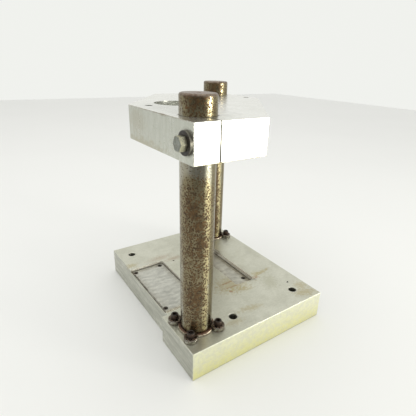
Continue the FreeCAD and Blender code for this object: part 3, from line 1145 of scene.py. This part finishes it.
@dataclass
class UpperBlock:
    """The sliding block with its pinch bolts and washers."""

    effects: Effects

    def tint_patches(self) -> Tuple[TintPatch, ...]:
        """Places the block's stains and painted shade by its own box.

        Returns:
            The patches.
        """
        low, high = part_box("upper_block")
        near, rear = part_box("near_guide_post"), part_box("rear_guide_post")
        centre = middle_of("near_guide_post").x
        level = (low.z + high.z) / 2
        slit_shades = ((centre, (low.y + near[0].y) / 2, level),
                 (middle_of("rear_guide_post").x, (high.y + rear[1].y) / 2, level))
        corner = (low.x, near[1].y, high.z)
        return (
            # Dark lines at the two slits: painted shade in the gaps.
            *(TintPatch(slit_shade, (0.0021, 0.05, 0.12), (0.05, 0.045, 0.03), 0.96, ragged=0.10) for slit_shade in slit_shades),
            TintPatch((low.x + 0.045, near[1].y + 0.03, high.z), (0.06, 0.10, 0.003), (0.56, 0.57, 0.52), 0.7,
                   0.0, 0.4, 60.0),
            TintPatch((low.x, near[0].y + 0.11, low.z), (0.004, 0.09, 0.012), (0.42, 0.37, 0.24), 0.5, 0.0, 0.9),
            TintPatch((low.x, -0.02, low.z + 0.03), (0.006, 0.030, 0.022), (0.42, 0.38, 0.27), 0.4, 0.0, 0.8),
            TintPatch(corner, (0.0012, 0.12, 0.0012), (0.24, 0.20, 0.12), 0.75, 0.0, 1.0, 400.0),
            TintPatch(corner, (0.004, 0.010, 0.003), (0.22, 0.17, 0.10), 0.7, 0.0, 0.5, 500.0),
            # Thin ochre line along the front face's lower edge: painted shade.
            TintPatch((near[1].x + 0.03, low.y, low.z), (0.11, 0.0013, 0.0013), (0.40, 0.32, 0.15), 0.85, 0.0,
                   1.0, 400.0),
            TintPatch((centre, near[0].y, high.z), (0.012, 0.006, 0.003), (0.12, 0.10, 0.07), 0.7, 0.0, 0.6,
                   500.0),
        )

    def build(self) -> None:
        """Dresses the block, the bolts and the washers."""
        low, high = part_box("upper_block")
        # The side tone is painted shade; the front tones are painted light; the bright edge tone is partly a
        # painted highlight.
        block = MilledAluminium(
            "block_milled", pale=(0.88, 0.885, 0.84), dull=(0.76, 0.765, 0.71), side=(0.52, 0.535, 0.46),
            side_streak=(0.64, 0.65, 0.59), side_run=(1.0, 1.0, 0.10), front=(0.96, 0.96, 0.92),
            front_low=(0.95, 0.94, 0.80), grime_and_shade=(0.16, 0.13, 0.09), bright=(0.97, 0.97, 0.92),
            smooth=0.20, matt=0.30, stretch=(1.0, 0.30, 0.12), low=tuple(low), top=high.z,
            relief=0.000004, scratched=0.0, hollow=0.005, edge=0.0002, mottled=0.28,
            tint_patches=self.tint_patches())
        dress(["upper_block"], block.make(self.effects))
        # Dark beads round both posts at the block top: partly packed dirt, partly painted shade of the gap.
        grime_and_shade = PackedGrimeAndShade("bore_grime_and_shade").make(self.effects)
        for station in Station:
            post_low, post_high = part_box(station.value + "_guide_post")
            centre = middle_of(station.value + "_guide_post")
            centre.z = high.z
            reach = BEAD_REACH["bore"]
            ring = circle(centre, steady((post_high.x - post_low.x) / 2 + reach + 0.1 * MM), 0.0, 90)
            settle(bead(station.value + "_bore_seam", ring, reach, True), "block", Slot.BLOCK, grime_and_shade)
        across = (1.0, 0.0, 0.0)
        # Flank tones of bolt and washer: painted reflections.
        zinc = OldSteel("bolt_zinc", (0.20, 0.215, 0.185), (0.32, 0.335, 0.30), (0.20, 0.14, 0.08), 0.10,
                        (0.70, 0.67, 0.48), 0.95, 0.26, 0.42, 500.0, axis=across,
                        flank_sheen=(0.66, 0.63, 0.44), sheen=0.95)
        black = OldSteel("washer_black", (0.030, 0.028, 0.026), (0.08, 0.075, 0.068), (0.12, 0.07, 0.05),
                         0.25, (0.30, 0.28, 0.24), 0.8, 0.28, 0.5, 600.0, axis=across,
                         flank_sheen=(0.26, 0.25, 0.20), sheen=0.85)
        dress(["near_pinch_bolt", "rear_pinch_bolt"], zinc.make(self.effects))
        dress(["near_pinch_washer", "rear_pinch_washer"], black.make(self.effects))


# ---- the studio


@dataclass
class Studio:
    """Pale floor with a painted dark patch that only reflected rays see, soft lights, pale surround and the
    camera.
    """

    floor_half: float = 4.0
    wall: Colour = (0.875, 0.885, 0.85)
    dim_floor: Triple = (-0.53, -0.85, 0.0)
    dim_sky: Triple = (-0.53, -0.85, -0.05)
    left_sky: Triple = (-0.80, 0.60, 0.0)
    lens: float = 30.17
    shift: Tuple[float, float] = (-0.0198, 0.0062)
    stand: Triple = (-0.32967, -0.48703, 0.42474)
    turn: Triple = (67.2294, -1.7633, -34.876)

    def lamp(self, name: str, place: Triple, aim: Triple, size: Tuple[float, float], power: float,
             tint: Colour = (1.0, 1.0, 1.0)) -> None:
        """Adds one soft rectangular light.

        Args:
            name: Name of the light.
            place: Where it stands.
            aim: Point that it faces.
            size: Width and height in metres.
            power: Power in watts.
            tint: Colour of the light.
        """
        data = bpy.data.lights.new(name, "AREA")
        data.shape = "RECTANGLE"
        data.size, data.size_y = size
        data.energy = power
        data.color = tint
        lamp = bpy.data.objects.new(name, data)
        lamp.location = place
        lamp.rotation_euler = (Vector(aim) - Vector(place)).to_track_quat("-Z", "Y").to_euler()
        bpy.context.scene.collection.objects.link(lamp)

    def floor(self) -> None:
        """Lays the pale floor, painted dark beyond the set on the camera side for every ray but camera rays.
        """
        half = self.floor_half
        mesh = bpy.data.meshes.new("floor")
        corners = [(-half, -half, 0), (half, -half, 0), (half, half, 0), (-half, half, 0)]
        mesh.from_pydata(corners, [], [(0, 1, 2, 3)])
        floor = bpy.data.objects.new("floor", mesh)
        bpy.context.scene.collection.objects.link(floor)
        work = Paintwork("pale_table")
        bench = work.bench
        cloud = bench.noise(bench.place(), 1.5, 2.0)
        pale = bench.blend(cloud, (0.84, 0.845, 0.83), (0.87, 0.875, 0.86))
        # Painted shade: the floor turns dark on the camera side for reflected and bounced rays, so the posts
        # mirror a dim room.
        seen = bench.add("ShaderNodeLightPath").outputs["Is Camera Ray"]
        far = bench.step(bench.dot(bench.place(), self.dim_floor), 0.58, 1.0, 0.0, 0.85)
        dim = bench.times(far, bench.less(1.0, seen))
        work.set(Base_Color=bench.blend(dim, pale, (0.05, 0.05, 0.045)), Roughness=0.55)
        mesh.materials.append(work.material)

    def surround(self) -> None:
        """Builds the pale surround, dimmer toward the side that faces away from the lights."""
        world = bpy.data.worlds.new("surround")
        world.use_nodes = True
        tree = world.node_tree
        tree.nodes.clear()
        bench = Bench(tree)
        toward = bench.add("ShaderNodeTexCoord").outputs["Generated"]
        dim = bench.step(bench.dot(toward, self.dim_sky), 0.35, 0.95, 0.0, 0.52)
        left = bench.step(bench.dot(toward, self.left_sky), 0.2, 0.95, 0.0, 0.16)
        roof = bench.step(bench.split(toward)[2], 0.2, 0.9, 0.0, 0.10)
        level = bench.less(bench.plus(0.88, roof), bench.plus(dim, left))
        glow = bench.wire("ShaderNodeBackground", {"Color": (1.0, 1.0, 0.97), "Strength": level})
        seen = bench.wire("ShaderNodeBackground", {"Color": self.wall})
        ray = bench.add("ShaderNodeLightPath").outputs["Is Camera Ray"]
        mix = bench.wire("ShaderNodeMixShader", {0: ray, 1: glow[0], 2: seen[0]})
        bench.wire("ShaderNodeOutputWorld", {"Surface": mix[0]})
        bpy.context.scene.world = world

    def camera(self) -> None:
        """Sets the camera at the chosen three-quarter view from above."""
        data = bpy.data.cameras.new("camera")
        data.lens = self.lens
        data.shift_x, data.shift_y = self.shift
        camera = bpy.data.objects.new("camera", data)
        camera.location = self.stand
        camera.rotation_euler = [math.radians(angle) for angle in self.turn]
        bpy.context.scene.collection.objects.link(camera)
        bpy.context.scene.camera = camera

    def build(self) -> None:
        """Builds floor, surround, lights and camera."""
        self.floor()
        self.surround()
        self.lamp("window", (1.20, -1.80, 0.28), aim=(-0.08, -0.1, 0.20), size=(0.45, 0.5), power=21.0,
                  tint=(1.0, 0.98, 0.90))
        self.lamp("overhead", (-0.4, 0.3, 2.2), aim=(0.0, 0.0, 0.1), size=(2.2, 2.2), power=11.5)
        self.camera()
        bpy.context.scene.view_settings.view_transform = "Standard"


def main() -> None:
    """Builds the whole set in order."""
    logging.basicConfig(level=logging.INFO, format="%(message)s")
    Studio().build()
    effects = Effects()
    LowerShoe(effects).build()
    # Flank tones of screws, collars and clamps: painted reflections.
    screw = OldSteel("cap_screw_black", (0.022, 0.020, 0.018), (0.060, 0.050, 0.042), (0.10, 0.050, 0.030),
                     0.30, (0.28, 0.24, 0.20), 0.75, 0.28, 0.5, flank_sheen=(0.13, 0.075, 0.050), sheen=0.6)
    collar = OldSteel("collar_rusted", (0.085, 0.048, 0.030), (0.18, 0.100, 0.060), (0.16, 0.068, 0.034),
                      0.62, (0.55, 0.45, 0.30), 0.6, 0.24, 0.5, 420.0, 0.0002, flank_sheen=(0.72, 0.66, 0.50),
                      sheen=0.9)
    clamp = OldSteel("clamp_grey", (0.055, 0.042, 0.030), (0.19, 0.155, 0.115), (0.15, 0.080, 0.045), 0.55,
                     (0.85, 0.83, 0.75), 0.97, 0.10, 0.28, 420.0, 0.0002, flank_sheen=(0.50, 0.49, 0.42),
                     sheen=0.8)
    materials = [finish.make(effects) for finish in (screw, collar, clamp)]
    for station in Station:
        PostFoot(effects, station, *materials).build()
    UpperBlock(effects).build()


if __name__ == "__main__":
    main()
